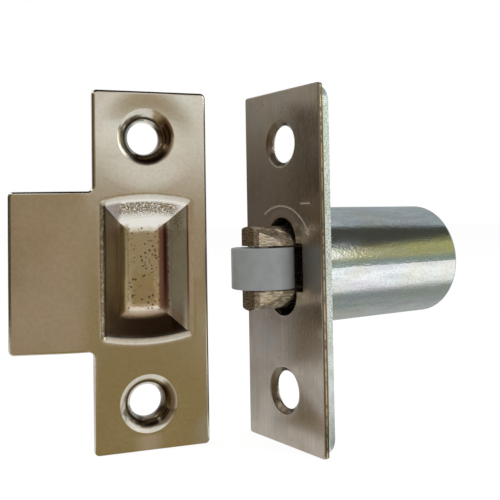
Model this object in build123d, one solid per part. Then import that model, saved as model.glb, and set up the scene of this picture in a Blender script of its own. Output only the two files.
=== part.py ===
from build123d import *
import math
import os

# A roller catch for a door, with its strike plate, in millimetres.
# +Y runs along the barrel, into the door. +Z is up, along the forend. X is across the forend.
# The origin is on the barrel's axis, on the back of the forend, which seats on the door's edge.

# Forend: a thin face plate on a thicker backing plate. The face plate is dimpled for the screw heads,
# and the dimples stand in larger holes in the backing plate.
forend_length = 57.0
forend_margin = 0.3
face_thickness = 0.8
face_corner_radius = 0.5
backing_thickness = 1.2
backing_corner_radius = 3.0
plate_edge_radius = 0.2
screw_spacing = 39.6
screw_hole_diameter = 6.1
screw_head_diameter = 7.5
screw_dimple_depth = 1.05
screw_dimple_clearance = 0.25
screw_lip_radius = 0.4

# Barrel: a drawn cup. Its chamfered mouth sits in a shallow recess in the backing plate,
# and a thin spigot beyond it is swaged into the plate.
barrel_diameter = 19.0
barrel_wall = 1.2
barrel_depth = 29.3
barrel_end_wall = 1.2
barrel_end_radius = 0.7
spigot_wall = 0.6
barrel_seat_depth = 0.2
barrel_seat_clearance = 0.05

# Roller and the pin that it turns on
roller_diameter = 10.0
roller_projection = 8.85
roller_edge_radius = 0.2
roller_side_clearance = 0.3
roller_back_clearance = 0.75
pin_diameter = 3.0
pin_recess = 0.35
pin_running_clearance = 0.05

# Carrier: a fork with two ears on a round guide, and a boss that centres the spring
ear_thickness = 3.05
ear_width = 6.9
ear_bore_clearance = 1.75
nose_setback = 2.15
nose_width = 4.4
nose_chamfer = 0.55
nose_taper_length = 4.4
fork_floor = 1.3
guide_length = 5.0
guide_clearance = 0.2
guide_chamfer = 0.4
boss_diameter = 9.5
boss_length = 3.0

# Opening in the face plate: a slot for the ears and a window for the roller
ear_slot_side_clearance = 0.2
ear_slot_end_clearance = 1.35
window_side_clearance = 0.25
window_end_clearance = 0.6

# Stem that is screwed into the carrier. Its head stops the carrier at the end of the barrel.
stem_diameter = 5.0
stem_across_flats = 4.2
stem_hole_clearance = 0.15
stem_head_diameter = 8.4
stem_head_height = 2.0
stem_head_edge = 0.5
stem_tip_gap = 0.3
plunge_travel = 10.2

# Spring between the carrier's guide and the end of the barrel
spring_wire = 1.2
spring_boss_clearance = 0.4
spring_coils = 6
spring_end_gap = 0.05

# Strike plate: one pressing, with a tongue that is bent back
strike_length = 57.0
strike_width = 18.5
strike_thickness = 1.2
strike_corner_radius = 0.8
strike_edge_radius = 0.5
tongue_length = 12.8
tongue_height = 25.0
tongue_bend_angle = 12.0
tongue_bend_radius = 20.0
pressing_offset = -0.75

# Dish that the roller drops into, sunk in the strike plate
dish_width = 14.2
dish_height = 21.3
dish_end_bulge = 0.8
dish_rim_radius = 2.2
dish_depth = 3.5
dish_floor_width = 6.2
dish_floor_height = 13.4
dish_floor_radius = 4.0

# Dimpled screw holes in the strike plate: the sheet is drawn down into a short throat
strike_screw_spacing = 42.2
strike_hole_diameter = 5.2
dimple_diameter = 9.2
dimple_depth = 2.6
dimple_throat = 0.6

# Where the strike plate stands beside the catch, and how far it is turned from facing as the forend does
strike_turn = 75.0
strike_centre_x = -10.55
strike_ahead_of_face = 17.95

# Sizes and places that follow from these
face_front = -(face_thickness + backing_thickness)
face_back = -backing_thickness
forend_width = barrel_diameter + 2 * forend_margin
screw_collar_diameter = screw_hole_diameter + 2 * face_thickness
bore_diameter = barrel_diameter - 2 * barrel_wall
spigot_diameter = bore_diameter + 2 * spigot_wall
barrel_end_inside = barrel_depth - barrel_end_wall
roller_radius = roller_diameter / 2
roller_front = face_front - roller_projection
roller_axis = roller_front + roller_radius
ear_span = bore_diameter - 2 * ear_bore_clearance
fork_gap = ear_span - 2 * ear_thickness
roller_length = fork_gap - 2 * roller_side_clearance
nose_front = roller_front + nose_setback
fork_bottom = roller_axis + roller_radius + roller_back_clearance
guide_front = fork_bottom + fork_floor
guide_back = guide_front + guide_length
boss_back = guide_back + boss_length


def across(y):
    """The plane square to the barrel's axis at y, facing into the door."""
    return Plane(origin=(0, y, 0), x_dir=(1, 0, 0), z_dir=(0, 1, 0))


def rod(diameter, start, end):
    """A round bar on the barrel's axis."""
    return extrude(across(start) * Circle(diameter / 2), end - start)


def at_screws(form):
    """A form at both screw holes of the forend."""
    return [Pos(0, 0, side * screw_spacing / 2) * form for side in (-1, 1)]


def screw_dimple():
    """The hollow of one screw dimple in the face plate."""
    head = screw_head_diameter / 2
    hole = screw_hole_diameter / 2
    end = face_front + screw_dimple_depth
    profile = make_face(
        Polyline(
            (0, face_front),
            (head, face_front),
            (hole, face_front + head - hole),
            (hole, end),
            (0, end),
            close=True,
        )
    )
    return revolve(profile, Axis.Y)


def make_face_plate():
    outline = RectangleRounded(forend_width, forend_length, face_corner_radius)
    plate = extrude(across(face_front) * outline, face_thickness)
    front = plate.faces().sort_by(Axis.Y)[0]
    plate = fillet(front.edges(), plate_edge_radius)
    slot_width = ear_width + 2 * ear_slot_side_clearance
    slot = SlotOverall(ear_span + 2 * ear_slot_end_clearance, slot_width, rotation=90)
    window_width = roller_diameter + 2 * window_side_clearance
    window = Rectangle(window_width, roller_length + 2 * window_end_clearance)
    plate -= extrude(across(face_front) * (slot + window), face_thickness)
    plate += at_screws(rod(screw_collar_diameter, face_back, face_front + screw_dimple_depth))
    plate -= at_screws(screw_dimple())
    front = plate.faces().sort_by(Axis.Y)[0]
    lips = [edge for edge in front.edges() if edge.geom_type == GeomType.CIRCLE and edge.is_closed]
    return fillet(lips, screw_lip_radius)


def make_backing_plate():
    outline = RectangleRounded(forend_width, forend_length, backing_corner_radius)
    plate = extrude(across(face_back) * outline, backing_thickness)
    front = plate.faces().sort_by(Axis.Y)[0]
    plate = fillet(front.edges(), plate_edge_radius)
    plate -= rod(spigot_diameter, face_back, 0)
    plate -= rod(barrel_diameter + 2 * barrel_seat_clearance, -barrel_seat_depth, 0)
    return plate - at_screws(rod(screw_collar_diameter + 2 * screw_dimple_clearance, face_back, 0))


def make_barrel():
    barrel = rod(barrel_diameter, -barrel_seat_depth, barrel_depth)
    mouth = barrel.faces().sort_by(Axis.Y)[0]
    barrel = chamfer(mouth.edges(), barrel_seat_depth)
    end = barrel.faces().sort_by(Axis.Y)[-1]
    barrel = fillet(end.edges(), barrel_end_radius)
    barrel += rod(spigot_diameter, face_back, 0)
    barrel -= rod(bore_diameter, face_back, barrel_end_inside)
    hole = Circle(stem_diameter / 2 + stem_hole_clearance)
    hole &= Rectangle(stem_across_flats + 2 * stem_hole_clearance, barrel_diameter)
    return barrel - extrude(across(barrel_end_inside) * hole, barrel_end_wall)


def make_roller_carrier():
    ears = SlotOverall(ear_span, ear_width, rotation=90)
    fork = extrude(across(nose_front) * ears, guide_front - nose_front)
    taper_end = nose_front + nose_taper_length
    plan = make_face(
        Polyline(
            (-nose_width / 2, nose_front),
            (nose_width / 2, nose_front),
            (ear_width / 2, taper_end),
            (ear_width / 2, guide_front),
            (-ear_width / 2, guide_front),
            (-ear_width / 2, taper_end),
            close=True,
        )
    )
    plan = chamfer(plan.vertices().group_by(Axis.Y)[0], nose_chamfer)
    fork &= extrude(plan, ear_span, both=True)
    fork -= extrude(across(nose_front) * Rectangle(ear_width, fork_gap), fork_bottom - nose_front)
    fork -= Pos(0, roller_axis, 0) * Cylinder(pin_diameter / 2, ear_span)
    guide = rod(bore_diameter - 2 * guide_clearance, guide_front, guide_back)
    guide = chamfer(guide.edges().filter_by(GeomType.CIRCLE), guide_chamfer)
    carrier = fork + guide + rod(boss_diameter, guide_back, boss_back)
    return carrier - rod(stem_diameter, guide_front, boss_back)


def make_axle_pin():
    return Pos(0, roller_axis, 0) * Cylinder(pin_diameter / 2, ear_span - 2 * pin_recess)


def make_roller():
    roller = Cylinder(roller_radius, roller_length)
    roller = fillet(roller.edges().filter_by(GeomType.CIRCLE), roller_edge_radius)
    roller -= Cylinder(pin_diameter / 2 + pin_running_clearance, roller_length)
    return Pos(0, roller_axis, 0) * roller


def make_adjusting_stem():
    stem = rod(stem_diameter, guide_front + stem_tip_gap, barrel_depth)
    flats_start = barrel_end_inside - plunge_travel - barrel_end_wall
    beside_flats = Circle(stem_diameter) - Rectangle(stem_across_flats, 2 * stem_diameter)
    stem -= extrude(across(flats_start) * beside_flats, barrel_depth - flats_start)
    head = rod(stem_head_diameter, barrel_depth, barrel_depth + stem_head_height)
    head = fillet(head.faces().sort_by(Axis.Y)[-1].edges(), stem_head_edge)
    return stem + head


def make_spring():
    first = guide_back + spring_end_gap + spring_wire / 2
    last = barrel_end_inside - spring_end_gap - spring_wire / 2
    rise = last - first
    radius = boss_diameter / 2 + spring_boss_clearance + spring_wire / 2
    path = Helix(rise / spring_coils, rise, radius)
    section = Plane(origin=path @ 0, z_dir=path % 0) * Circle(spring_wire / 2)
    return across(first).location * sweep(section, path=path, is_frenet=True)


def bent_sheet():
    """The strike plate's sheet before pressing: its face on z = 0, cut to its outline."""
    bend_start = -strike_width / 2 - strike_corner_radius
    centre = (bend_start, -strike_thickness - tongue_bend_radius)
    front_arc = CenterArc(centre, tongue_bend_radius + strike_thickness, 90, tongue_bend_angle)
    back_arc = CenterArc(centre, tongue_bend_radius, 90, tongue_bend_angle)
    front_line = PolarLine(front_arc @ 1, tongue_length, 180 + tongue_bend_angle)
    back_line = PolarLine(back_arc @ 1, tongue_length, 180 + tongue_bend_angle)
    main = Polyline(
        front_arc @ 0,
        (strike_width, 0),
        (strike_width, -strike_thickness),
        back_arc @ 0,
    )
    tip = Line(front_line @ 1, back_line @ 1)
    section = make_face([main, front_arc, front_line, tip, back_line, back_arc])
    strip = extrude(Plane.XZ * section, strike_length, both=True)

    reach = strike_width / 2 + tongue_length * math.cos(math.radians(tongue_bend_angle))
    tongue = Pos(-reach / 2, 0) * Rectangle(reach, tongue_height)
    outline = Rectangle(strike_width, strike_length) + tongue
    outline = fillet(outline.vertices(), strike_corner_radius)
    sheet = strip & extrude(outline, strike_width, both=True)
    fronts = [face for face in sheet.faces() if face.normal_at().Z > 0.5]
    rim = [edge for edge in sheet.edges() if sum(edge in face.edges() for face in fronts) == 1]
    return fillet(rim, strike_edge_radius)


def frustum(growth, top, bottom, floor_radius):
    """The dish's form between two heights, grown sideways by the sheet's offset."""
    sections = (
        (dish_width, dish_height, dish_end_bulge, top),
        (dish_floor_width, dish_floor_height, dish_end_bulge / 2, bottom),
    )
    faces = []
    for width, height, bulge, level in sections:
        x = width / 2 + growth
        y = height / 2 + growth
        outline = make_face(
            [
                Line((x, -y), (x, y)),
                ThreePointArc((x, y), (0, y + bulge), (-x, y)),
                Line((-x, y), (-x, -y)),
                ThreePointArc((-x, -y), (0, -y - bulge), (x, -y)),
            ]
        )
        faces.append(Pos(0, 0, level) * outline)
    form = loft(faces, ruled=True)
    return fillet(form.faces().sort_by(Axis.Z)[0].edges(), floor_radius)


def press_dish(plate):
    slope = math.atan2(dish_depth, (dish_width - dish_floor_width) / 2)
    growth = strike_thickness * math.tan(slope / 2)
    place = Pos(pressing_offset, 0, 0)
    back_floor = -dish_depth - strike_thickness
    plate += place * frustum(growth, -strike_thickness, back_floor, dish_floor_radius + strike_thickness)
    plate -= place * frustum(0, 0, -dish_depth, dish_floor_radius)
    return plate


def throat(radius, hole, level):
    """A round plug down to the dimple's bottom, flared by an arc of this radius up to a level."""
    centre = (hole + radius, -dimple_depth)
    rise = level + dimple_depth
    flare_end = 180 - math.degrees(math.asin(rise / radius))
    flare = CenterArc(centre, radius, 180, flare_end - 180)
    bottom = -dimple_depth - dimple_throat
    plug = Polyline(flare @ 0, (hole, bottom), (0, bottom), (0, level), flare @ 1)
    return revolve(Plane.XZ * make_face([flare, plug]), Axis.Z)


def press_dimples(plate):
    hole = strike_hole_diameter / 2
    run = dimple_diameter / 2 - hole
    flare_radius = (run**2 + dimple_depth**2) / (2 * run)
    front = throat(flare_radius, hole, 0)
    back = throat(flare_radius - strike_thickness, hole + strike_thickness, -strike_thickness)
    places = [Pos(pressing_offset, side * strike_screw_spacing / 2, 0) for side in (-1, 1)]
    for place in places:
        plate += place * back
        plate -= place * front
    return plate


def make_strike_plate():
    plate = press_dimples(press_dish(bent_sheet()))
    front = plate.faces().filter_by(Axis.Z).sort_by(Axis.Z)[-1]
    dish_rim = max(front.inner_wires(), key=lambda wire: wire.length)
    plate = fillet(dish_rim.edges(), dish_rim_radius)
    turn = math.radians(strike_turn)
    stand = Plane(
        origin=(strike_centre_x, face_front - strike_ahead_of_face, 0),
        x_dir=(math.cos(turn), math.sin(turn), 0),
        z_dir=(math.sin(turn), -math.cos(turn), 0),
    )
    return stand.location * plate


pieces = {
    "face_plate": make_face_plate,
    "backing_plate": make_backing_plate,
    "barrel": make_barrel,
    "roller_carrier": make_roller_carrier,
    "axle_pin": make_axle_pin,
    "roller": make_roller,
    "adjusting_stem": make_adjusting_stem,
    "spring": make_spring,
    "strike_plate": make_strike_plate,
}

os.makedirs("parts", exist_ok=True)
for name, make in pieces.items():
    export_step(make(), f"parts/{name}.step")
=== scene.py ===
# %% [markdown]
# # A roller catch and its strike plate
# A roller catch keeps a door shut without a handle. The barrel goes into a hole in the door's edge, and a
# sprung roller stands out of it and drops into the dish of the strike plate on the frame.
# The solids come from CAD at their real size. Blender adds what CAD leaves out: the finish of each metal,
# the real spring, the thread, the stamped marks, and a small photo studio around it all.

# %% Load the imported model
import math
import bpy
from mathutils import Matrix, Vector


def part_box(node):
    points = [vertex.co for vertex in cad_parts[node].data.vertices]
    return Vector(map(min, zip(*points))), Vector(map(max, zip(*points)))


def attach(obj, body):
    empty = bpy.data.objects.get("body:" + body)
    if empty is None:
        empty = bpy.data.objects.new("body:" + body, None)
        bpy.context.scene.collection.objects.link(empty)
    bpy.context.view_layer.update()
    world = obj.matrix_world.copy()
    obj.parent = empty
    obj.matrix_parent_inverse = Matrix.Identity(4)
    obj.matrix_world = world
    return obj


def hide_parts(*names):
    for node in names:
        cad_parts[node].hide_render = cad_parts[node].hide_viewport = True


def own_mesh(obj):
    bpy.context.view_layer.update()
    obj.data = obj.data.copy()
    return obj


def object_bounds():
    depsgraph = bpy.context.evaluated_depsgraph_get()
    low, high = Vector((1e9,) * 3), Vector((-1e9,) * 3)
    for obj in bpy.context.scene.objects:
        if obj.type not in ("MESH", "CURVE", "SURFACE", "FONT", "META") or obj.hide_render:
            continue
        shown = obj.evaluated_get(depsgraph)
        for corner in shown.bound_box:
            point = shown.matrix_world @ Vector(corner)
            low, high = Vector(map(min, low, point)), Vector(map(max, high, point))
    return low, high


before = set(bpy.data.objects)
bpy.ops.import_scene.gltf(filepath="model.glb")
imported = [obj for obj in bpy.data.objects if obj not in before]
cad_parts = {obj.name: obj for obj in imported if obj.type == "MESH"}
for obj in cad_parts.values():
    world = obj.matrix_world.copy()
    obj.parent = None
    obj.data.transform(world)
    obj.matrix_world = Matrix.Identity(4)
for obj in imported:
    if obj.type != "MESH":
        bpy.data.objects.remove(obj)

from types import SimpleNamespace

import bmesh
import bpy
from mathutils import Matrix, Vector

mm = 0.001
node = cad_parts
cad_low, cad_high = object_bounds()


def place_object(name, data):
    """A new object in the scene."""
    made = bpy.data.objects.new(name, data)
    bpy.context.scene.collection.objects.link(made)
    return made


print("CAD nodes:", ", ".join(sorted(node)))
print("CAD box in mm:", [round(size / mm, 1) for size in cad_high - cad_low])

# %% [markdown]
# ## Small helpers for node trees
# Materials and Geometry Nodes are both trees of nodes. Making each node takes three or four lines, so a few
# helpers keep the cells short: one adds a node and fills its inputs, and the others wrap the nodes that come
# up most. An input that is given a socket is linked, and one that is given a number is set. A socket knows
# which tree it is in, so most helpers need no tree.


# %% Helpers for numbers
def add(tree, kind, inputs=None, **options):
    """Adds a node, sets its options, then links or sets each input."""
    made = tree.nodes.new(kind)
    for option, value in options.items():
        setattr(made, option, value)
    for key, value in (inputs or {}).items():
        if isinstance(value, bpy.types.NodeSocket):
            tree.links.new(value, made.inputs[key])
        else:
            made.inputs[key].default_value = value
    return made


def first_of(tree, kind, inputs=None, **options):
    """Adds a node and gives its first output."""
    return add(tree, kind, inputs, **options).outputs[0]


def calc(operation, *values):
    """One Math node's result. At least one of the values is a socket."""
    tree = next(value.id_data for value in values if isinstance(value, bpy.types.NodeSocket))
    return first_of(tree, "ShaderNodeMath", dict(enumerate(values)), operation=operation)


def total(first, *others):
    for other in others:
        first = calc("ADD", first, other)
    return first


def product(first, *others):
    """Numbers multiplied. With masks, the result is 1 only where all of them are."""
    for other in others:
        first = calc("MULTIPLY", first, other)
    return first


def less(first, second):
    return calc("SUBTRACT", first, second)


def gap(value, middle=0.0):
    """How far a value lies from a middle, to either side."""
    return calc("ABSOLUTE", less(value, middle))


def fade(value, start, end, low=0.0, high=1.0):
    """A smooth step: low up to start, high from end on."""
    inputs = {"Value": value, "From Min": start, "From Max": end, "To Min": low, "To Max": high}
    return first_of(value.id_data, "ShaderNodeMapRange", inputs, interpolation_type="SMOOTHSTEP")


def fade_out(value, start, end):
    """The smooth step downwards: 1 up to start, 0 from end on."""
    return fade(value, start, end, 1, 0)


print("helpers ready: add, first_of, calc, total, product, less, gap, fade, fade_out")


# %% Helpers for vectors and colours
def parts(point):
    """A vector's X, Y and Z."""
    return add(point.id_data, "ShaderNodeSeparateXYZ", {0: point}).outputs


def vector(x, y, z=0.0):
    return first_of(x.id_data, "ShaderNodeCombineXYZ", {0: x, 1: y, 2: z})


def flat_length(x, y):
    """The distance of a flat point from the origin."""
    return add(x.id_data, "ShaderNodeVectorMath", {0: vector(x, y)}, operation="LENGTH").outputs["Value"]


def srgb(red, green, blue):
    """A colour as a picture shows it, 0 to 255, in the linear values that nodes use."""
    def linear(value):
        value /= 255
        return value / 12.92 if value <= 0.04045 else ((value + 0.055) / 1.055) ** 2.4
    return (linear(red), linear(green), linear(blue), 1.0)


def mix(share, first, second):
    """Two colours mixed by a share."""
    return add(share.id_data, "ShaderNodeMix", {0: share, 6: first, 7: second}, data_type="RGBA").outputs[2]


def tinted(colour, *layers):
    """A colour with tints laid over it in turn. A layer is a mask, the share it lets in, and the tint."""
    for mask, share, tint in layers:
        colour = mix(product(mask, share), colour, tint)
    return colour


def new_material(name):
    material = bpy.data.materials.new(name)
    material.use_nodes = True
    material.node_tree.nodes.clear()
    return material, material.node_tree


print("helpers ready: parts, vector, flat_length, srgb, mix, tinted, new_material")

# %% [markdown]
# ## The camera
# The picture was taken from close by, a little to the right of the catch's face and just above its middle. A
# fit of the plates' corners to the picture gave the place, the direction and the focal length. The picture's
# frame sits lower than the lens axis, which is what the lens shift is for: tilting the camera instead would
# make the upright edges lean.

# %% Camera
camera_place = Vector((97.5, -76.25, 8.19)) * mm
camera_azimuth = math.radians(55.04)
camera_lift = math.radians(-1.98)
camera_roll = math.radians(-0.96)
camera_lens = 54.5
camera_shift = -0.12

side = Vector((math.cos(camera_azimuth), math.sin(camera_azimuth), 0))
back = Vector((
    math.sin(camera_azimuth) * math.cos(camera_lift),
    -math.cos(camera_azimuth) * math.cos(camera_lift),
    math.sin(camera_lift),
))
up = back.cross(side)
turned_side = side * math.cos(camera_roll) + up * math.sin(camera_roll)
turned_up = up * math.cos(camera_roll) - side * math.sin(camera_roll)
camera = place_object("camera", bpy.data.cameras.new("camera"))
camera.data.sensor_width = 36
camera.data.lens = camera_lens
camera.data.shift_y = camera_shift
camera.data.clip_start = 1 * mm
camera_axes = Matrix((turned_side, turned_up, back)).transposed()
camera.matrix_world = Matrix.Translation(camera_place) @ camera_axes.to_4x4()
bpy.context.scene.camera = camera
print("camera", round((camera_place - (cad_low + cad_high) / 2).length / mm), "mm from the object's middle")

# %% [markdown]
# ## Floor and background
# The catch stands on a white floor that runs out of sight. A lit floor never comes out evenly white, so a
# part of its white is its own: eyes and mirrors see the emission, while light that bounces off the floor
# onto the object comes from the diffuse part alone. A soft shadow still shows where the plates stand. The
# world does the same: white to look at, and a plain soft light by its strength for everything else.

# %% Floor and world
floor_gap = 0.02 * mm
floor_reach = 2.0
floor_own_white = 0.86
floor_lit_share = 0.22
floor_bounce = 0.8
world_light = 0.55


def seen_directly(tree):
    """1 for rays from the camera, from a mirror or through glass, and 0 for bounced light."""
    path = add(tree, "ShaderNodeLightPath")
    either = calc("MAXIMUM", path.outputs["Is Camera Ray"], path.outputs["Is Glossy Ray"])
    return calc("MAXIMUM", either, path.outputs["Is Transmission Ray"])


def new_object(name, vertices, faces):
    mesh = bpy.data.meshes.new(name)
    mesh.from_pydata(vertices, [], faces)
    return place_object(name, mesh)


floor_level = cad_low.z - floor_gap
corners = [(x * floor_reach, y * floor_reach, floor_level) for x, y in ((-1, -1), (1, -1), (1, 1), (-1, 1))]
floor = new_object("floor", corners, [(0, 1, 2, 3)])

floor_white, tree = new_material("floor white")
lit = first_of(tree, "ShaderNodeBsdfDiffuse", {"Color": (floor_lit_share,) * 3 + (1,)})
own = first_of(tree, "ShaderNodeEmission", {"Strength": floor_own_white})
to_eye = first_of(tree, "ShaderNodeAddShader", {0: lit, 1: own})
to_object = first_of(tree, "ShaderNodeBsdfDiffuse", {"Color": (floor_bounce,) * 3 + (1,)})
either = {0: seen_directly(tree), 1: to_object, 2: to_eye}
add(tree, "ShaderNodeOutputMaterial", {0: first_of(tree, "ShaderNodeMixShader", either)})
floor.data.materials.append(floor_white)

world = bpy.data.worlds.new("white studio")
world.use_nodes = True
tree = world.node_tree
tree.nodes.clear()
strength = fade(seen_directly(tree), 0, 1, world_light, 1)
sky_white = first_of(tree, "ShaderNodeBackground", {"Color": (1, 1, 1, 1), "Strength": strength})
add(tree, "ShaderNodeOutputWorld", {0: sky_white})
bpy.context.scene.world = world
bpy.context.scene.view_settings.view_transform = "Standard"
print("floor at", round(floor_level / mm, 2), "mm")

# %% [markdown]
# ## Lamps and cards
# Polished metal has little colour of its own: it shows what stands around it. A photographer therefore hangs
# cards beside it, pale ones for brightness and dark ones for contrast. Here each card is a plain rectangle
# that only reflections can see, with a few colours that run into each other from its foot to its top, or
# from one side to the other. Some lie on the floor. Five white ones slant down in front of the dish, to
# light its upper wall, and are clear from underneath so that nothing else sees them. Two large lamps give
# the soft light.


# %% Lamp and card helpers
def card(name, place, size, stops, turn=0, tilt=0, along="Z", one_sided=False):
    """A card with its middle at place, in mm. It stands facing -Y, then tilts about X and turns about Z."""
    width, height = size[0] / 2 * mm, size[1] / 2 * mm
    outline = [(-width, 0, -height), (width, 0, -height), (width, 0, height), (-width, 0, height)]
    made = new_object(name, outline, [(0, 1, 2, 3)])
    made.rotation_euler = (math.radians(tilt), 0, math.radians(turn))
    made.location = Vector(place) * mm
    material, tree = new_material(name)
    share = parts(add(tree, "ShaderNodeTexCoord").outputs["Generated"])[along]
    ramp = add(tree, "ShaderNodeValToRGB", {0: share})
    while len(ramp.color_ramp.elements) < len(stops):
        ramp.color_ramp.elements.new(1)
    for element, (position, colour) in zip(ramp.color_ramp.elements, stops):
        element.position = position
        element.color = (*colour, 1)
    shown = first_of(tree, "ShaderNodeEmission", {"Color": ramp.outputs[0]})
    if one_sided:
        behind = add(tree, "ShaderNodeNewGeometry").outputs["Backfacing"]
        clear = first_of(tree, "ShaderNodeBsdfTransparent")
        shown = first_of(tree, "ShaderNodeMixShader", {0: behind, 1: shown, 2: clear})
    add(tree, "ShaderNodeOutputMaterial", {0: shown})
    material.cycles.emission_sampling = "NONE"
    made.data.materials.append(material)
    made.visible_camera = made.visible_diffuse = made.visible_shadow = False
    return made


def slanted_card(name, edge, reach, slope, span):
    """A white card that runs down from its upper edge, at (x, z), to x = reach, clear from underneath."""
    run = reach - edge[0]
    drop = run * math.tan(math.radians(slope))
    middle = (edge[0] + run / 2, sum(span) / 2, edge[1] - drop / 2)
    size = (span[1] - span[0], math.hypot(run, drop))
    return card(name, middle, size, all_white, turn=90, tilt=slope - 90, one_sided=True)


def lamp(name, place, size, power, colour):
    made = place_object(name, bpy.data.lights.new(name, "AREA"))
    made.data.size = size * mm
    made.data.energy = power
    made.data.color = colour
    made.location = Vector(place) * mm
    made.rotation_euler = (-made.location).to_track_quat("-Z", "Y").to_euler()
    made.visible_camera = False


print("helpers ready: card, slanted_card, lamp")

# %% Lamps and cards
white = (1, 1, 1)
pearl = (0.95, 0.95, 0.94)
silver = (0.7, 0.7, 0.7)
mist = (0.58, 0.58, 0.6)
olive = (0.365, 0.275, 0.13)
clay = (0.48, 0.38, 0.27)
tan = (0.44, 0.33, 0.21)
cream = (0.84, 0.83, 0.76)
dusk = (0.19, 0.15, 0.12)
linen = (0.45, 0.42, 0.37)
umber = (0.2, 0.16, 0.11)
blush = (0.72, 0.66, 0.6)
slate = (0.26, 0.23, 0.16)
wine = (0.07, 0.025, 0.02)
coal = (0.05, 0.035, 0.03)
soot = (0.026, 0.016, 0.01)
pitch = (0.06, 0.06, 0.05)
teal = (0.26, 0.33, 0.30)
moss = (0.43, 0.42, 0.2)
sky = (0.36, 0.40, 0.42)
ash = (0.3, 0.33, 0.31)
fog = (0.42, 0.43, 0.41)

right_stops = [(0, olive), (0.35, tan), (0.46, tan), (0.58, cream), (0.7, white)]
tongue_stops = [(0, clay), (0.2, clay), (0.45, tan)]
near_stops = [(0, linen), (0.06, olive)]
far_stops = [(0, olive), (0.135, olive), (0.237, clay)]
front_stops = [(0.61, coal), (0.65, slate), (0.76, slate), (0.774, umber), (0.79, wine)]
left_stops = [(0.05, mist), (0.16, dusk), (0.5, dusk), (0.66, linen)]
strip_stops = [(0, dusk), (0.25, linen), (0.7, cream)]
left_floor_stops = [(0, mist), (0.55, silver), (1, pearl)]
barrel_stops = [(0.11, teal), (0.17, moss), (0.37, moss), (0.49, pitch)]
under_stops = [(0.57, fog), (0.7, ash), (0.84, ash), (0.94, white)]
above_stops = [(0.44, soot), (0.56, blush)]
all_white = [(0, white), (1, white)]
all_sky = [(0, sky), (1, sky)]
card_level = -28.4
cards = [
    card("card_right", (150, -6, 20), (136, 97), right_stops, turn=90),
    card("card_tongue", (140, -159, 23), (202, 103), tongue_stops, turn=90),
    card("card_foot_far", (79, -131.5, card_level), (142, 257), far_stops, tilt=90),
    card("card_foot_near", (-3, -54.5, card_level), (22, 91), near_stops, tilt=90),
    slanted_card("card_slant_far", (8.5, -4.2), 150, 8, (-29, -4)),
    slanted_card("card_slant_high", (4, -4.8), 69, 20, (-29, -6)),
    slanted_card("card_slant_middle", (4, -10.5), 41, 26, (-29, -6)),
    slanted_card("card_slant_low", (-2, -14.5), 22.5, 29.5, (-30, -12)),
    slanted_card("card_slant_foot", (-8, -18.3), 5.8, 36, (-31, -9)),
    card("card_dimple", (-6.2, -20.4, -22.5), (6.6, 6), all_white, tilt=90),
    card("card_front", (-22.5, -95, 28.5), (135, 93), front_stops, along="X"),
    card("card_left", (-88, -69, 24), (110, 105), left_stops, turn=-53),
    card("card_left_strip", (-76, -60, 50), (26, 60), strip_stops, turn=-53),
    card("card_left_floor", (-55, -40, card_level), (79, 70), left_floor_stops, tilt=90, along="X"),
    card("card_above", (50, -20, 75), (220, 110), above_stops, tilt=90, along="X"),
    card("card_back_right", (427, 300, 193), (746, 421), barrel_stops),
    card("card_back_left", (-74, 95, 45), (192, 147), all_sky),
    card("card_under", (-10, 50.3, card_level), (92, 99.4), under_stops, tilt=90, along="X"),
]
lamp("key_lamp", (-140, -280, 330), 300, 0.9, (1, 0.98, 0.95))
lamp("side_lamp", (300, 120, 180), 250, 0.55, (0.93, 0.97, 1))
print(len(cards), "cards and 2 lamps")

# %% [markdown]
# ## Surface effects that several finishes share
# Plating clouds over, sheet metal gets hairline scratches, and castings are grainy. Each of these is a shader
# node group, so that every finish can use it with its own values. A group only gives a mask or a height that
# changes over the surface. The lengths in it are millimetres, because each material first turns its
# coordinates into millimetres.


# %% Shader groups
def shader_group(name, inputs, output):
    """An empty group with a Vector input, number inputs with their values, and one number output."""
    tree = bpy.data.node_groups.new(name, "ShaderNodeTree")
    tree.interface.new_socket("Vector", in_out="INPUT", socket_type="NodeSocketVector")
    for label, value in inputs.items():
        tree.interface.new_socket(label, in_out="INPUT", socket_type="NodeSocketFloat").default_value = value
    tree.interface.new_socket(output, in_out="OUTPUT", socket_type="NodeSocketFloat")
    return tree, add(tree, "NodeGroupInput").outputs


def use(group, place, **values):
    """Places a group in a material. Its inputs are named with capitals, and the keywords without."""
    inputs = {"Vector": place}
    inputs.update({label.capitalize(): value for label, value in values.items()})
    return first_of(place.id_data, "ShaderNodeGroup", inputs, node_tree=group)


def noise(given, detail, scale=None, roughness=0.5):
    """A noise in a group, at the group's own scale if none is given."""
    inputs = {"Vector": given["Vector"], "Detail": detail, "Roughness": roughness}
    inputs["Scale"] = given["Scale"] if scale is None else scale
    return first_of(given["Vector"].id_data, "ShaderNodeTexNoise", inputs)


clouds, given = shader_group("Clouds", {"Scale": 0.2, "Low": 0.4, "High": 0.6}, "Mask")
add(clouds, "NodeGroupOutput", {0: fade(noise(given, 4), given["Low"], given["High"])})

hairlines, given = shader_group("Hairlines", {"Scale": 0.3, "Width": 0.01, "Amount": 0.5}, "Mask")
line = fade_out(gap(noise(given, 1), 0.5), 0, given["Width"])
broken = fade(noise(given, 1, scale=0.4), 0.45, 0.6)
add(hairlines, "NodeGroupOutput", {0: product(line, broken, given["Amount"])})

pits, given = shader_group("Pits", {"Scale": 1.0, "Size": 0.2, "Share": 0.5}, "Mask")
cells = add(pits, "ShaderNodeTexVoronoi", {"Vector": given["Vector"], "Scale": given["Scale"]})
spot = fade_out(cells.outputs["Distance"], product(given["Size"], 0.4), given["Size"])
chance = first_of(pits, "ShaderNodeSeparateColor", {0: cells.outputs["Color"]})
add(pits, "NodeGroupOutput", {0: product(spot, calc("LESS_THAN", chance, given["Share"]))})

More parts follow.
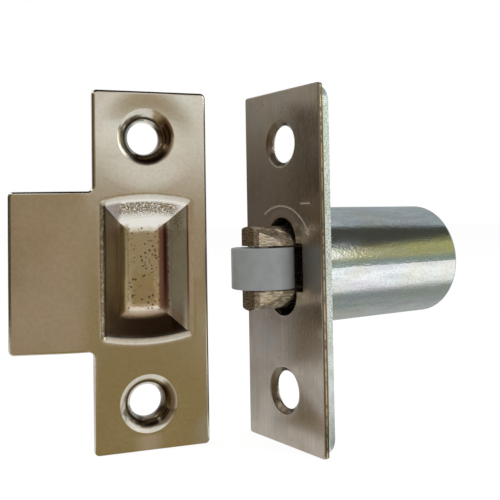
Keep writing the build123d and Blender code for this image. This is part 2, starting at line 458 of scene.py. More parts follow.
grain, given = shader_group("Grain", {"Scale": 3.0, "Height": 0.02}, "Height")
centred = less(noise(given, 3, roughness=0.6), 0.5)
add(grain, "NodeGroupOutput", {0: product(centred, given["Height"])})
print("groups:", ", ".join(group.name for group in (clouds, hairlines, pits, grain)))

# %% [markdown]
# ## Coordinates and the common end of a finish
# Each finish starts from Object coordinates, read in millimetres through a Mapping node. The Mapping can also
# stretch them, so that a pattern runs along the metal, or turn them to the strike plate's own directions.
# Each finish ends in one Principled shader, whose bump takes heights in millimetres.


# %% Material helpers
def millimetres(tree, stretch=(1, 1, 1), origin=(0, 0, 0), turn=0.0):
    """Object coordinates in mm from origin, turned about Z. A stretch of 0.1 draws a pattern out tenfold."""
    coordinates = add(tree, "ShaderNodeTexCoord").outputs["Object"]
    inputs = {
        "Vector": coordinates,
        "Location": origin,
        "Rotation": (0, 0, turn),
        "Scale": tuple(mm / share for share in stretch),
    }
    return first_of(tree, "ShaderNodeMapping", inputs, vector_type="TEXTURE")


def facing(tree):
    """The direction that the surface faces, as X, Y and Z."""
    return parts(add(tree, "ShaderNodeTexCoord").outputs["Normal"])


def finish(material, colour, roughness, height, metallic=1.0):
    """The common end of a material. Heights are in mm."""
    tree = material.node_tree
    bump = first_of(tree, "ShaderNodeBump", {"Height": height, "Distance": mm})
    inputs = {"Base Color": colour, "Roughness": roughness, "Metallic": metallic, "Normal": bump}
    add(tree, "ShaderNodeOutputMaterial", {0: first_of(tree, "ShaderNodeBsdfPrincipled", inputs)})
    print(material.name, "has", len(tree.nodes), "nodes")
    return material


print("helpers ready: millimetres, facing, finish")

# %% [markdown]
# ## Bright nickel on the strike plate
# The strike plate is pressed from one sheet and nickel plated, so its finish has to know where the press
# went. Every mask follows the plate's own directions, in mm: across it, down into it, and up it.

# %% Where the press went
strike_turn = math.radians(75)
strike_middle = Vector((-10.55, -19.95, 0)) * mm
pressing_offset = -0.75
dimple_height = 21.1
dimple_radius = 4.6
dish_half_height = 12.0
dish_half_width = 8.0
dish_depth = 3.5


def strike_places(tree):
    """The coordinates and masks on the strike plate that its finish is made from."""
    at = SimpleNamespace(place=millimetres(tree, origin=strike_middle, turn=strike_turn))
    at.across, at.depth, at.upward = parts(at.place)
    at.height_off = gap(at.upward)
    at.off_middle = gap(at.across, pressing_offset)
    in_height = calc("LESS_THAN", at.height_off, dish_half_height)
    at.in_dish = product(in_height, calc("LESS_THAN", at.off_middle, dish_half_width))
    at.deep = product(at.in_dish, fade(at.depth, 1.8, 2.3))
    at.wall_top = fade(at.depth, 0.3, 1.2)
    at.on_wall = product(at.in_dish, at.wall_top, fade_out(at.depth, dish_depth - 1.2, dish_depth - 0.3))
    at.on_floor = product(at.in_dish, fade(at.depth, dish_depth - 0.25, dish_depth - 0.05))
    at.faces_up = fade(facing(tree)["Z"], 0.25, 0.55)
    at.wavering = total(at.across, use(grain, at.place, scale=2.4, height=0.8))
    at.aside = less(at.across, pressing_offset)
    at.outward = less(at.height_off, dimple_height)
    at.radius = flat_length(at.aside, at.outward)
    return at


print("masks follow a plate turned by", round(math.degrees(strike_turn)), "degrees")

# %% [markdown]
# The press stretched the metal most in the dish, and the plating shows it there. The upper wall is crazed,
# over a pale painted reflection. A wine-red stripe of painted reflection runs beside the floor, with painted
# golden glints next to it. The other walls are darker with painted reflection and shade, the left rim is
# painted darker in golden dots, and the floor has a painted yellow reflection that pales at its lower end.
# Each of these is a tint, which a mask lets into the colour.

# %% Tints on the upper wall and the stripes
glint_place = 1.4
painted_stripe_place = 2.6


def upper_wall_tints(at, colour):
    on_upper = product(at.in_dish, fade(at.depth, 0.1, 0.4), fade(at.upward, 5.5, 7))
    banded = product(fade(at.depth, 0.35, 0.7), fade_out(at.depth, 1.5, 2.5), on_upper)
    stretched = product(banded, fade_out(at.off_middle, 4, 7))
    crazed = product(use(clouds, at.place, scale=4.4, low=0.38, high=0.5), stretched)
    gilded = use(clouds, at.place, scale=3, low=0.45, high=0.6)
    craze = mix(gilded, srgb(84, 74, 56), srgb(142, 116, 70))
    # The pale tint over the whole upper wall is a painted reflection; the crazing over it is the plating's
    # own.
    return tinted(colour, (on_upper, 0.8, srgb(236, 233, 226)), (crazed, 0.92, craze))


def stripe_tints(at, colour):
    # Painted reflection: the wine-red stripe beside the floor stands in for a reflection, and the golden
    # glints next to it are painted highlights.
    near_painted_stripe = fade_out(gap(at.wavering, painted_stripe_place), 0.55, 0.95)
    painted_stripe = product(near_painted_stripe, at.deep, fade_out(at.height_off, 6, 7.5))
    near_glint = fade_out(gap(at.across, glint_place), 0.15, 0.6)
    glinting = product(near_glint, fade(at.upward, 1, -2), at.on_floor)
    glint = product(use(clouds, at.place, scale=4.5, low=0.5, high=0.58), glinting)
    return tinted(colour, (painted_stripe, 0.8, srgb(112, 58, 54)), (glint, 1, srgb(255, 240, 200)))


print("tints ready: upper wall, stripes")

# %% Tints on the other walls and the floor
left_wall_place = -5.2
left_rim_place = -7.35
left_foot_place = -4.0
right_wall_place = 3.2


def wall_tints(at, colour):
    # Every tint here is painted reflection and shade: the left wall is painted grey, stronger towards the
    # top, its foot gets a golden strip, the wall that faces up is painted brown, the right wall is painted
    # dark, stronger towards the bottom, and the left rim is painted darker in golden dots.
    to_left = fade_out(at.across, left_wall_place, left_wall_place + 0.8)
    on_left = product(at.in_dish, to_left, fade(at.depth, 0.2, 0.6))
    stronger_above = fade(at.upward, 0, 8, 0.6, 0.85)
    near_foot = fade_out(gap(at.wavering, left_foot_place), 0.7, 1.1)
    on_left_foot = product(at.deep, near_foot, fade_out(at.height_off, 6.5, 7.5))
    on_lower = product(at.in_dish, fade(at.depth, 0.45, 0.9), at.faces_up)
    to_right = fade(at.across, right_wall_place, right_wall_place + 0.6)
    on_right = product(at.in_dish, to_right, at.wall_top)
    stronger_below = fade(at.upward, -9, -3, 0.95, 0)
    to_rim = fade_out(at.across, left_rim_place, left_rim_place + 0.3)
    on_rim = product(at.in_dish, to_rim, fade(at.depth, 0.02, 0.08), fade_out(at.height_off, 10, 11.2))
    dotted = fade(use(clouds, at.place, scale=2.6, low=0.35, high=0.6), 0, 1, 0.6, 1)
    return tinted(
        colour,
        (on_left, stronger_above, srgb(142, 134, 128)),
        (on_left_foot, 0.85, srgb(150, 128, 80)),
        (on_lower, 0.9, srgb(150, 122, 90)),
        (on_right, stronger_below, srgb(108, 86, 64)),
        (product(on_rim, dotted), 0.9, srgb(112, 92, 56)),
    )


def floor_tints(at, colour):
    # Painted reflection: the dish floor is tinted yellow, and paler towards its lower end.
    lower_end = product(at.on_floor, fade(at.upward, -5, -6.2))
    return tinted(colour, (at.on_floor, 0.4, srgb(190, 178, 140)), (lower_end, 0.5, srgb(236, 218, 204)))


print("tints ready: walls, floor")

# %% [markdown]
# A screw dimple is dark on the side that faces away from the light, painted shade, and has a painted golden
# reflection on the right of its brim. A painted pale highlight runs down from the lower one.

# %% Tints round the dimples
highlight_band_start, highlight_band_end = -25.6, -26.4


def dimple_tints(at, colour):
    # Painted light: a pale highlight below the lower dimple, a golden reflection on the right of each brim,
    # and shade on each dimple's lower right side.
    painted_highlight_band = product(fade(at.upward, highlight_band_start, highlight_band_end), fade_out(at.off_middle, 0.4, 3))
    rightward = calc("DIVIDE", at.aside, at.radius)
    downward = calc("DIVIDE", product(at.outward, calc("SIGN", at.upward), -1), at.radius)
    shaded_side = total(product(rightward, 0.8), product(downward, 0.6))
    on_brim = fade_out(at.radius, dimple_radius - 0.1, dimple_radius + 0.2)
    painted_golden_brim = product(on_brim, fade(rightward, 0.5, 0.8))
    wider_above = fade(at.upward, -1, 1, 0, 0.45)
    wider_aside = fade(rightward, 0.2, 0.7, 0, 0.35)
    reach = less(at.radius, calc("MAXIMUM", wider_above, wider_aside))
    in_dimple = fade_out(reach, dimple_radius - 0.9, dimple_radius - 0.45)
    in_shade = product(in_dimple, fade(shaded_side, -0.15, 0.25))
    return tinted(
        colour,
        (painted_highlight_band, 0.75, srgb(234, 234, 255)),
        (painted_golden_brim, 0.75, srgb(136, 112, 70)),
        (in_shade, 0.9, srgb(86, 69, 50)),
    )


print("tints ready: dimples")

# %% [markdown]
# The whole finish starts from two nickel tones in large clouds. Its relief is grainy on the dish's walls and
# pitted on its floor, and round each dimple the sheet sinks a little, which bends the reflections there.


# %% Strike nickel
def strike_nickel():
    material, tree = new_material("strike nickel")
    at = strike_places(tree)
    cloud = use(clouds, at.place, scale=0.11, low=0.35, high=0.68)
    bloom = use(clouds, at.place, scale=0.16, low=0.42, high=0.64)
    mottle = use(clouds, at.place, scale=1.7, low=0.4, high=0.62)
    clustered = use(clouds, at.place, scale=0.45, low=0.4, high=0.56)
    speck = product(use(pits, at.place, scale=1.8, size=0.46, share=0.75), clustered, at.on_floor)
    colour = mix(cloud, srgb(204, 201, 189), srgb(197, 192, 176))
    colour = tinted(colour, (bloom, 0.35, srgb(204, 190, 178)), (mottle, 0.1, srgb(150, 138, 112)))
    for add_tints in (upper_wall_tints, stripe_tints, wall_tints, floor_tints, dimple_tints):
        colour = add_tints(at, colour)
    colour = tinted(colour, (speck, 0.9, srgb(84, 64, 36)))

    towards_end = fade(at.height_off, dimple_height - 3, dimple_height + 3, 0.3, 1)
    sink = product(fade(at.radius, dimple_radius - 1.5, dimple_radius + 4.5, -0.5, 0), towards_end)
    peel = use(grain, at.place, scale=0.9, height=0.006)
    coarser = fade(at.upward, 3, 8, 0.3, 1)
    drawn = product(use(grain, at.place, scale=3, height=0.03), at.on_wall, coarser)
    pitted = product(use(grain, at.place, scale=2.2, height=0.02), at.on_floor)
    height = total(sink, peel, drawn, pitted, product(speck, -0.005))
    roughness = total(product(cloud, 0.05), 0.17, product(at.on_wall, -0.04))
    return finish(material, colour, roughness, height)


strike_finish = strike_nickel()

# %% [markdown]
# ## Duller nickel on the face plate
# The face plate is thinner sheet with the same plating, but its rolled grain shows, running up and down, and
# it has been handled: there are fine scratches, dark flecks and duller clouds. Its sides are brown, and its
# screw holes are painted brown as shade. A broken line of bright metal runs along each side. The stamped
# marks, which come further on, are paler and rougher than the plate, and the depth below its front tells the
# finish where they are.

# %% Places on the face plate
opening_radius = 3.65
opening_straight = 4.25
opening_brim = 0.8
marks_height = 7.0
marks_half_height = 3.7
marks_half_width = 9.0
screw_height = 19.8
screw_radius = 3.75
side_start = 9.0
face_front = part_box("face_plate")[0].y


def face_places(tree):
    """The coordinates and masks on the face plate that its finish is made from."""
    at = SimpleNamespace(place=millimetres(tree))
    across, along, at.upward = parts(at.place)
    off_middle = gap(across)
    height_off = gap(at.upward)
    past_straight = calc("MAXIMUM", less(height_off, opening_straight), 0)
    at.from_opening = flat_length(across, past_straight)
    at.from_screw = flat_length(across, less(height_off, screw_height))
    at.depth = less(along, face_front / mm)
    at.in_mark = product(
        fade(at.depth, 0.015, 0.05),
        calc("LESS_THAN", gap(at.upward, marks_height), marks_half_height),
        calc("LESS_THAN", off_middle, marks_half_width),
        calc("GREATER_THAN", at.from_opening, opening_radius + opening_brim),
    )
    at.on_side = product(fade(gap(facing(tree)["X"]), 0.6, 0.9), calc("GREATER_THAN", off_middle, side_start))
    return at


print("face plate's front at", round(face_front / mm, 2), "mm")


# %% Face nickel
def face_nickel():
    material, tree = new_material("face nickel")
    at = face_places(tree)
    rolled = millimetres(tree, stretch=(3.5, 1, 0.12))
    slanted = millimetres(tree, stretch=(1.6, 1, 0.2), turn=math.radians(20))
    cloud = use(clouds, at.place, scale=0.16, low=0.38, high=0.66)
    streak = use(clouds, rolled, scale=0.9, low=0.35, high=0.65)
    cooler = use(clouds, at.place, scale=0.13, low=0.48, high=0.66)
    fleck = use(pits, at.place, scale=0.6, size=0.14, share=0.4)
    scratch = use(hairlines, slanted, scale=0.35, width=0.006, amount=0.7)
    # Painted shade: the countersunk screw holes are tinted brown.
    screw_hole_shade = fade_out(at.from_screw, screw_radius - 0.15, screw_radius + 0.1)
    halfway = product(fade(at.depth, 0.3, 0.4), fade_out(at.depth, 0.5, 0.6))
    worn_line = product(at.on_side, halfway, use(clouds, at.place, scale=1.1, low=0.38, high=0.56))
    colour = tinted(
        mix(cloud, srgb(172, 163, 152), srgb(160, 151, 139)),
        (streak, 0.35, srgb(149, 140, 128)),
        (cooler, 0.45, srgb(158, 159, 156)),
        (fleck, 0.6, srgb(98, 88, 76)),
        (screw_hole_shade, 0.75, srgb(92, 78, 58)),
        (at.on_side, 0.85, srgb(92, 76, 54)),
        (worn_line, 0.8, srgb(202, 186, 150)),
        (at.in_mark, 1, srgb(184, 175, 163)),
    )
    drawn_in = fade(at.upward, -3, 3, 0.2, 1)
    sink = product(fade(at.from_opening, opening_radius, opening_radius + 1.8, -0.16, 0), drawn_in)
    uneven = use(grain, at.place, scale=0.7, height=0.008)
    height = total(sink, product(streak, 0.0015), uneven, product(scratch, -0.004))
    worn = total(product(cloud, 0.07), product(streak, 0.05))
    return finish(material, colour, total(worn, product(at.in_mark, 0.22), 0.22), height)


face_finish = face_nickel()

# %% [markdown]
# ## Zinc on the backing plate and the barrel
# Zinc plating is paler and cooler than nickel. On the barrel, the drawing die left streaks along the tube,
# and the passivation that follows plating leaves faint yellow and pink patches; inside the barrel the zinc
# is painted dark as shade. The backing plate was cut with shears, so its edges are torn and grainy while its
# flats are smooth: the way the surface faces tells them apart. The torn tint thins out towards the plate's
# foot, a painted reflection that makes the lower edges paler.


# %% Zinc on the backing plate
def zinc_plate():
    material, tree = new_material("zinc plate")
    place = millimetres(tree)
    torn = millimetres(tree, stretch=(2, 1.2, 2.2))
    on_edge = fade_out(gap(facing(tree)["Y"]), 0.3, 0.8)
    tear = product(use(clouds, torn, scale=2.4, low=0.48, high=0.56), on_edge)
    cloud = use(clouds, place, scale=0.3, low=0.35, high=0.65)
    # Painted reflection: the torn tint thins out towards the plate's foot, so the lower edges come out paler.
    painted_paler_below = fade(parts(place)["Z"], -18, -2, 0.35, 1)
    colour = mix(cloud, srgb(226, 231, 229), srgb(208, 214, 210))
    colour = tinted(colour, (tear, painted_paler_below, srgb(168, 175, 161)))
    coarse = product(use(grain, torn, scale=1.6, height=0.05), on_edge)
    height = total(coarse, use(grain, place, scale=1.5, height=0.012))
    roughness = total(product(on_edge, 0.08), product(cloud, 0.08), 0.3)
    return finish(material, colour, roughness, height)


plate_finish = zinc_plate()

# %% Zinc on the barrel
bore_radius = 8.8
bore_end = 27.0


def zinc_barrel():
    material, tree = new_material("zinc barrel")
    place = millimetres(tree)
    drawn = millimetres(tree, stretch=(1, 0.16, 1))
    flecked = millimetres(tree, stretch=(1, 0.6, 1))
    across, along, upward = parts(place)
    # Painted shade: inside the bore, up to bore_end, the zinc is tinted dark grey, and rougher.
    in_bore = fade_out(flat_length(across, upward), bore_radius, bore_radius + 0.3)
    inside = product(in_bore, calc("LESS_THAN", along, bore_end))
    streak = use(clouds, drawn, scale=0.9, low=0.36, high=0.64)
    fine = use(clouds, drawn, scale=2.6, low=0.4, high=0.6)
    crystal = use(clouds, flecked, scale=3.6, low=0.5, high=0.58)
    yellowed = use(clouds, place, scale=0.12, low=0.42, high=0.66)
    pinkish = use(clouds, drawn, scale=0.35, low=0.5, high=0.68)
    colour = tinted(
        mix(streak, srgb(232, 236, 236), srgb(212, 218, 220)),
        (yellowed, 0.35, srgb(222, 214, 176)),
        (pinkish, 0.4, srgb(214, 203, 214)),
        (crystal, 0.24, srgb(158, 170, 174)),
        (inside, 1, srgb(112, 106, 96)),
    )
    crystals = product(use(grain, flecked, scale=3.4, height=0.021), less(1, inside))
    height = total(product(streak, 0.003), product(fine, 0.002), crystals)
    worn = total(product(streak, 0.05), product(crystal, 0.05))
    return finish(material, colour, total(worn, product(inside, 0.4), 0.07), height)


barrel_finish = zinc_barrel()

# %% [markdown]
# ## The carrier
# The carrier is a rough casting with a thin, golden flash of plating. Its sides keep the strokes of the tool
# that dressed them, and its front faces are painted darker as shade. Hardly any of it shows inside the
# barrel, so its relief is left low there.


# %% Carrier casting
def carrier_casting():
    material, tree = new_material("carrier casting")
    place = millimetres(tree)
    stroked = millimetres(tree, stretch=(1, 0.7, 2.4))
    stroke = use(clouds, stroked, scale=1.3, low=0.45, high=0.56)
    cloud = use(clouds, place, scale=0.35, low=0.35, high=0.65)
    # Painted shade: faces that look to the front are tinted darker.
    painted_dark_front = fade(product(facing(tree)["Y"], -1), 0.7, 0.9)
    colour = mix(cloud, srgb(228, 221, 206), srgb(208, 199, 180))
    colour = tinted(colour, (stroke, 0.55, srgb(108, 96, 76)), (painted_dark_front, 0.65, srgb(122, 108, 82)))
    dressed_side = use(grain, stroked, scale=1.5, height=0.03)
    sand = use(grain, place, scale=4.5, height=0.002)
    relief = total(product(stroke, -0.02), dressed_side, sand)
    height = product(relief, fade(parts(place)["Y"], -2, -0.5, 1, 0.1))
    return finish(material, colour, total(product(stroke, 0.12), 0.22), height)


carrier_finish = carrier_casting()

# %% [markdown]
# ## The pin, the spring's wire, the stem and the roller
# The pin and the spring's wire are drawn steel. The stem is zinc plated over the lathe's rings. The roller
# is grey nylon: no metal, hardly any shine, and a slight mottle that keeps it from looking like paint.


# %% Steel, turned zinc and nylon
def drawn_steel(name, pale, dark, stretch):
    """Bright steel with drawing lines, which run where the stretch is small."""
    material, tree = new_material(name)
    place = millimetres(tree)
    line = use(clouds, millimetres(tree, stretch=stretch), scale=2.2, low=0.38, high=0.62)
    cloud = use(clouds, place, scale=0.4, low=0.4, high=0.65)
    colour = mix(product(line, 0.6), pale, dark)
    height = total(product(line, 0.003), use(grain, place, scale=2, height=0.008))
    roughness = total(product(cloud, 0.1), product(line, 0.05), 0.2)
    return finish(material, colour, roughness, height)


def turned_zinc():
    """Zinc on a turned piece: the lathe's rings follow the distance from the axis and the place along it."""
    material, tree = new_material("stem zinc")
    place = millimetres(tree)
    across, along, upward = parts(place)
    turned = vector(flat_length(across, upward), along)
    ring = use(clouds, turned, scale=2.8, low=0.38, high=0.62)
    cloud = use(clouds, place, scale=0.5, low=0.35, high=0.65)
    colour = mix(ring, srgb(196, 199, 196), srgb(160, 164, 160))
    colour = tinted(colour, (cloud, 0.35, srgb(196, 190, 166)))
    height = total(product(ring, 0.02), use(grain, place, scale=2, height=0.008))
    roughness = total(product(cloud, 0.1), product(ring, 0.06), 0.2)
    return finish(material, colour, roughness, height)


def roller_nylon():
    material, tree = new_material("roller nylon")
    place = millimetres(tree)
    mottle = use(clouds, place, scale=0.5, low=0.3, high=0.7)
    ring = use(clouds, millimetres(tree, stretch=(0.4, 0.4, 3)), scale=1.2, low=0.3, high=0.7)
    colour = mix(mottle, srgb(146, 149, 148), srgb(136, 139, 137))
    colour = tinted(colour, (ring, 0.3, srgb(134, 138, 139)))
    height = total(use(grain, place, scale=3, height=0.012), product(ring, 0.003))
    return finish(material, colour, total(product(mottle, 0.08), 0.42), height, metallic=0.0)


pin_finish = drawn_steel("pin steel", srgb(208, 206, 200), srgb(178, 175, 168), (1, 1, 0.15))
spring_finish = drawn_steel("spring wire", srgb(186, 187, 190), srgb(150, 151, 156), (1, 1, 1))
stem_finish = turned_zinc()
roller_finish = roller_nylon()

# %% [markdown]
# ## Dress the CAD nodes
# The solids whose shape is already right keep their CAD mesh, with its exact normals, and only take a finish.

# %% Assign the finishes
dressed = {
    "backing_plate": plate_finish,
    "barrel": barrel_finish,
    "roller_carrier": carrier_finish,
    "axle_pin": pin_finish,
    "roller": roller_finish,
    "strike_plate": strike_finish,
}
for name, material in dressed.items():
    node[name].material_slots[0].material = material
print("dressed:", ", ".join(dressed))

# %% [markdown]
# ## The face plate with its stamped marks
# Beside the opening, a punch has left a curved arrow and a minus sign: turning the carrier that way makes
# the roller stand out less. The marks are real grooves. Round bars are laid along the strokes, sunk a little
# into the plate, and a Boolean takes them away. A CAD mesh is loose triangles, so the copy is merged first.
# Weighted normals then keep the large flat face flat where it meets its small rounded edges.

# %% Bars for the stamp
stroke_radius = 0.21 * mm
stroke_depth = 0.11 * mm
arc_middle = (-0.24 * mm, 1.97 * mm)
arc_radius = 7.8 * mm
arc_start, arc_end = math.radians(125), math.radians(24)
arrow_length = 1.2 * mm
arrow_spread = math.radians(32)
minus_ends = (4.8 * mm, 7.3 * mm)
minus_height = 10.1 * mm
arc_steps = 28

stroke_level = face_front - stroke_radius + stroke_depth


def arc_point(angle):
    return (arc_middle[0] + arc_radius * math.cos(angle), arc_middle[1] + arc_radius * math.sin(angle))


def plain_mesh(obj):
    """The object's final mesh, with its modifiers and bevels applied."""
    return bpy.data.meshes.new_from_object(obj.evaluated_get(bpy.context.evaluated_depsgraph_get()))


def stroke_bars(name, strokes):
    """Round bars along flat strokes of (x, z) points, as one mesh object."""
    curve = bpy.data.curves.new(name, "CURVE")
    curve.dimensions = "3D"
    curve.bevel_depth = stroke_radius
    curve.use_fill_caps = True
    for points in strokes:
        spline = curve.splines.new("POLY")
        spline.points.add(len(points) - 1)
        for point, (x, z) in zip(spline.points, points):
            point.co = (x, stroke_level, z, 1)
    bent = place_object(name, curve)
    made = place_object(name + "_mesh", plain_mesh(bent))
    bpy.data.objects.remove(bent)
    return made


arc = [arc_point(arc_start + (arc_end - arc_start) * step / arc_steps) for step in range(arc_steps + 1)]
tip = arc[-1]
backwards = arc_end + math.pi / 2
barbs = []
for turn in (-arrow_spread, arrow_spread):
    direction = (math.cos(backwards + turn), math.sin(backwards + turn))
    barbs.append([tip, (tip[0] + arrow_length * direction[0], tip[1] + arrow_length * direction[1])])
minus = [(x, minus_height) for x in minus_ends]
bars = stroke_bars("stamp", [arc, *barbs, minus])
print("bars for the stamp:", len(bars.data.polygons), "faces")

# %% Stamped face plate
merge_distance = 0.0005 * mm
smooth_angle = math.radians(30)
flat_angle = math.radians(0.3)

stamped = place_object("stamped_face_plate", node["face_plate"].data.copy())
shape = bmesh.new()
shape.from_mesh(stamped.data)
bmesh.ops.remove_doubles(shape, verts=shape.verts, dist=merge_distance)
bmesh.ops.dissolve_limit(shape, angle_limit=flat_angle, verts=shape.verts, edges=shape.edges)
shape.to_mesh(stamped.data)
shape.free()
stamped.data.attributes.remove(stamped.data.attributes["custom_normal"])
cut = stamped.modifiers.new("stamp", "BOOLEAN")
cut.object = bars
cut.operation = "DIFFERENCE"
cut.solver = "EXACT"
cut.use_self = True
stamped.data = plain_mesh(stamped)
stamped.modifiers.clear()
bpy.data.objects.remove(bars)
stamped.data.materials.clear()
stamped.data.materials.append(face_finish)
stamped.data.shade_smooth()
stamped.data.set_sharp_from_angle(angle=smooth_angle)
weighted = stamped.modifiers.new("flat faces stay flat", "WEIGHTED_NORMAL")
weighted.keep_sharp = True
stamped.data = plain_mesh(stamped)
stamped.modifiers.clear()
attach(stamped, "casing")
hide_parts("face_plate")
print("stamped face plate:", len(stamped.data.polygons), "faces")

# %% [markdown]
# ## The spring
# A compression spring is a wire on a helix whose first and last turns lie closed and are ground flat, so
# that it stands square. A Geometry Nodes tree makes it from a line: each point's turn number sets its angle
# and its height, the wire's round section is swept along, and the ends are cut level.


# %% Helpers for Geometry Nodes
def geometry_tree(name, inputs):
    """A tree with a Material input and number inputs. A whole value makes a whole-number input."""
    tree = bpy.data.node_groups.new(name, "GeometryNodeTree")
    for label, value in inputs.items():
        kind = "NodeSocketInt" if isinstance(value, int) else "NodeSocketFloat"
        tree.interface.new_socket(label, in_out="INPUT", socket_type=kind).default_value = value
    tree.interface.new_socket("Material", in_out="INPUT", socket_type="NodeSocketMaterial")
    tree.interface.new_socket("Geometry", in_out="OUTPUT", socket_type="NodeSocketGeometry")
    return tree, add(tree, "NodeGroupInput").outputs


def close_tree(tree, geometry, material):
    """The common end: smooth shading, no instances, and the material."""
    smooth = first_of(tree, "GeometryNodeSetShadeSmooth", {"Geometry": geometry})
    real = first_of(tree, "GeometryNodeRealizeInstances", {"Geometry": smooth})
    painted = first_of(tree, "GeometryNodeSetMaterial", {"Geometry": real, "Material": material})
    add(tree, "NodeGroupOutput", {0: painted})


def grow(name, tree, values):
    """Runs a tree on an empty object and keeps the result as its plain mesh, with one material slot."""
    made = place_object(name, bpy.data.meshes.new(name))
    modifier = made.modifiers.new(name, "NODES")
    modifier.node_group = tree
    for socket in tree.interface.items_tree:
        if socket.in_out == "INPUT" and socket.name in values:
            modifier[socket.identifier] = values[socket.name]
    made.data = plain_mesh(made)
    made.modifiers.clear()
    made.data.materials.clear()
    made.data.materials.append(values["Material"])
    made.data.polygons.foreach_set("material_index", [0] * len(made.data.polygons))
    return made


def on_barrel_axis(angle, radius, along):
    """A point at an angle round the barrel's axis, which is Y."""
    return vector(product(radius, calc("COSINE", angle)), along, product(radius, calc("SINE", angle)))


def moved(geometry, place):
    inputs = {"Geometry": geometry, "Position": place}
    return first_of(geometry.id_data, "GeometryNodeSetPosition", inputs)


def clamp(value, low, high):
    return first_of(value.id_data, "ShaderNodeClamp", {"Value": value, "Min": low, "Max": high})


full_turn = 2 * math.pi
print("helpers ready: geometry_tree, close_tree, grow, on_barrel_axis, moved, clamp")

# %% Spring's node tree
wire_radius = 0.6 * mm
ground_share = 0.35
spring_inputs = {
    "Coil Radius": 5.75 * mm, "Wire Radius": wire_radius, "Start": 0.0, "End": 22 * mm,
    "Turns": 8.0, "Closed Turns": 1.0, "Points": 480, "Wire Sides": 16,
}
tree, given = geometry_tree("closed spring", spring_inputs)
line = first_of(tree, "GeometryNodeCurvePrimitiveLine")
points = first_of(tree, "GeometryNodeResampleCurve", {"Curve": line, "Count": given["Points"]})
turn = product(add(tree, "GeometryNodeSplineParameter").outputs["Factor"], given["Turns"])
closed_turns = given["Closed Turns"]
open_turns = less(given["Turns"], product(closed_turns, 2))
wire = product(given["Wire Radius"], 2)
room = less(less(given["End"], given["Start"]), wire)
open_pitch = calc("DIVIDE", less(room, product(wire, closed_turns, 2)), open_turns)
first_closed_part = product(clamp(turn, 0, closed_turns), wire)
open_part = product(clamp(less(turn, closed_turns), 0, open_turns), open_pitch)
past_open = less(turn, total(closed_turns, open_turns))
last_closed_part = product(clamp(past_open, 0, closed_turns), wire)
along = total(given["Start"], given["Wire Radius"], first_closed_part, open_part, last_closed_part)
place = on_barrel_axis(product(turn, full_turn), given["Coil Radius"], along)
helix = moved(points, place)
circle = {"Resolution": given["Wire Sides"], "Radius": given["Wire Radius"]}
section = first_of(tree, "GeometryNodeCurvePrimitiveCircle", circle)
sweep = {"Curve": helix, "Profile Curve": section, "Fill Caps": True}
swept = first_of(tree, "GeometryNodeCurveToMesh", sweep)
here = parts(first_of(tree, "GeometryNodeInputPosition"))
ground = product(given["Wire Radius"], ground_share)
level = clamp(here["Y"], total(given["Start"], ground), less(given["End"], ground))
squared = vector(here["X"], level, here["Z"])
close_tree(tree, moved(swept, squared), given["Material"])
print(tree.name, "has", len(tree.nodes), "nodes")

# %% Spring
spring_low, spring_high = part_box("spring")
spring_start, spring_end = spring_low.y, spring_high.y
spring = grow("coil_spring", tree, {
    "Start": spring_start, "End": spring_end,
    "Coil Radius": (spring_high.x - spring_low.x) / 2 - wire_radius,
    "Material": spring_finish,
})
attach(spring, "casing")
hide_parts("spring")
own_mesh(spring)
print("spring:", len(spring.data.polygons), "faces,", round((spring_end - spring_start) / mm, 1), "mm long")

# %% [markdown]
# ## The threaded stem
# The carrier is screwed onto this stem, which passes through the end of the barrel and carries the stop
# head. A thread is a rule: the radius depends on how far along and how far round a point is. So a flat grid
# is rolled up by a Geometry Nodes tree, with a notch wherever along and round together come to a whole
# number of pitches. Two flats keep the stem from turning in the barrel's end. The head is turned, so it is
# spun from its profile.

# %% Stem's node tree
stem_inputs = {
    "Radius": 2.5 * mm, "Pitch": 0.8 * mm, "Depth": 0.42 * mm, "Start": 0.0, "Length": 28 * mm,
    "Thread End": 15 * mm, "Flats Start": 17 * mm, "Half Flats": 2.1 * mm,
    "Steps Round": 41, "Steps Along": 421,
}
tree, given = geometry_tree("threaded stem", stem_inputs)
grid = {"Vertices X": given["Steps Round"], "Vertices Y": given["Steps Along"]}
sheet = first_of(tree, "GeometryNodeMeshGrid", grid)
here = parts(first_of(tree, "GeometryNodeInputPosition"))
round_share = total(here["X"], 0.5)
along = total(product(total(here["Y"], 0.5), given["Length"]), given["Start"])
pitches = less(calc("DIVIDE", along, given["Pitch"]), round_share)
notch = product(calc("PINGPONG", pitches, 0.5), 2)
runs_in = fade(along, given["Start"], total(given["Start"], given["Pitch"]))
runs_out = fade_out(along, less(given["Thread End"], given["Pitch"]), given["Thread End"])
cut_depth = product(notch, given["Depth"], runs_out)
tip_depth = product(less(1, runs_in), given["Depth"])
radius = less(given["Radius"], calc("MAXIMUM", cut_depth, tip_depth))
rolled = parts(on_barrel_axis(product(round_share, full_turn), radius, along))
limit = total(given["Half Flats"], less(1, calc("GREATER_THAN", along, given["Flats Start"])))
flat = clamp(rolled["X"], product(limit, -1), limit)
place = vector(flat, along, rolled["Z"])
merge = {"Geometry": moved(sheet, place), "Distance": merge_distance}
seamed = first_of(tree, "GeometryNodeMergeByDistance", merge)
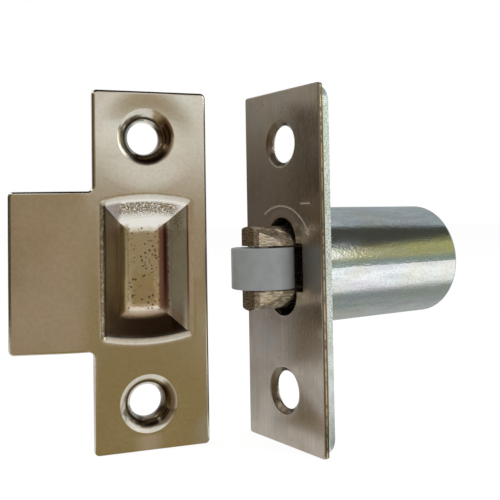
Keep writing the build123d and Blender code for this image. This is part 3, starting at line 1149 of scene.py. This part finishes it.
close_tree(tree, seamed, given["Material"])
print(tree.name, "has", len(tree.nodes), "nodes")

# %% Stem and its head
stem_low, stem_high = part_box("adjusting_stem")
barrel_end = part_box("barrel")[1].y
flats_length = 12.6 * mm
thread_runout = 0.5 * mm
head_overlap = 0.2 * mm
head_radius = (stem_high.x - stem_low.x) / 2
head_chamfer = 0.1 * mm
head_edge = 0.5 * mm
head_edge_steps = 6
head_steps = 72
centre_mark = [(1.3 * mm, 0), (1.1 * mm, 0.25 * mm), (0, 0.45 * mm)]
stem_smooth_angle = math.radians(35)

stem = grow("threaded_stem", tree, {
    "Start": stem_low.y, "Length": barrel_end + head_overlap - stem_low.y,
    "Thread End": barrel_end - flats_length - thread_runout, "Flats Start": barrel_end - flats_length,
    "Material": stem_finish,
})
head_profile = [(0, barrel_end), (head_radius - head_chamfer, barrel_end)]
head_profile.append((head_radius, barrel_end + head_chamfer))
for step in range(head_edge_steps + 1):
    angle = math.pi / 2 * step / head_edge_steps
    across = head_radius - head_edge + head_edge * math.cos(angle)
    head_profile.append((across, stem_high.y - head_edge + head_edge * math.sin(angle)))
head_profile += [(across, stem_high.y - depth) for across, depth in centre_mark]
shape = bmesh.new()
profile = [shape.verts.new((x, y, 0)) for x, y in head_profile]
edges = [shape.edges.new(pair) for pair in zip(profile, profile[1:])]
spin = {"axis": (0, 1, 0), "angle": full_turn, "steps": head_steps, "use_merge": True}
bmesh.ops.spin(shape, geom=profile + edges, cent=(0, 0, 0), **spin)
bmesh.ops.remove_doubles(shape, verts=shape.verts, dist=merge_distance)
shape.from_mesh(stem.data)
loose_ends = [edge for edge in shape.edges if edge.is_boundary]
bmesh.ops.holes_fill(shape, edges=loose_ends)
bmesh.ops.recalc_face_normals(shape, faces=shape.faces)
for face in shape.faces:
    face.smooth = True
shape.to_mesh(stem.data)
shape.free()
stem.data.set_sharp_from_angle(angle=stem_smooth_angle)
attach(stem, "plunger")
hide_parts("adjusting_stem")
print("stem:", len(stem.data.polygons), "faces")
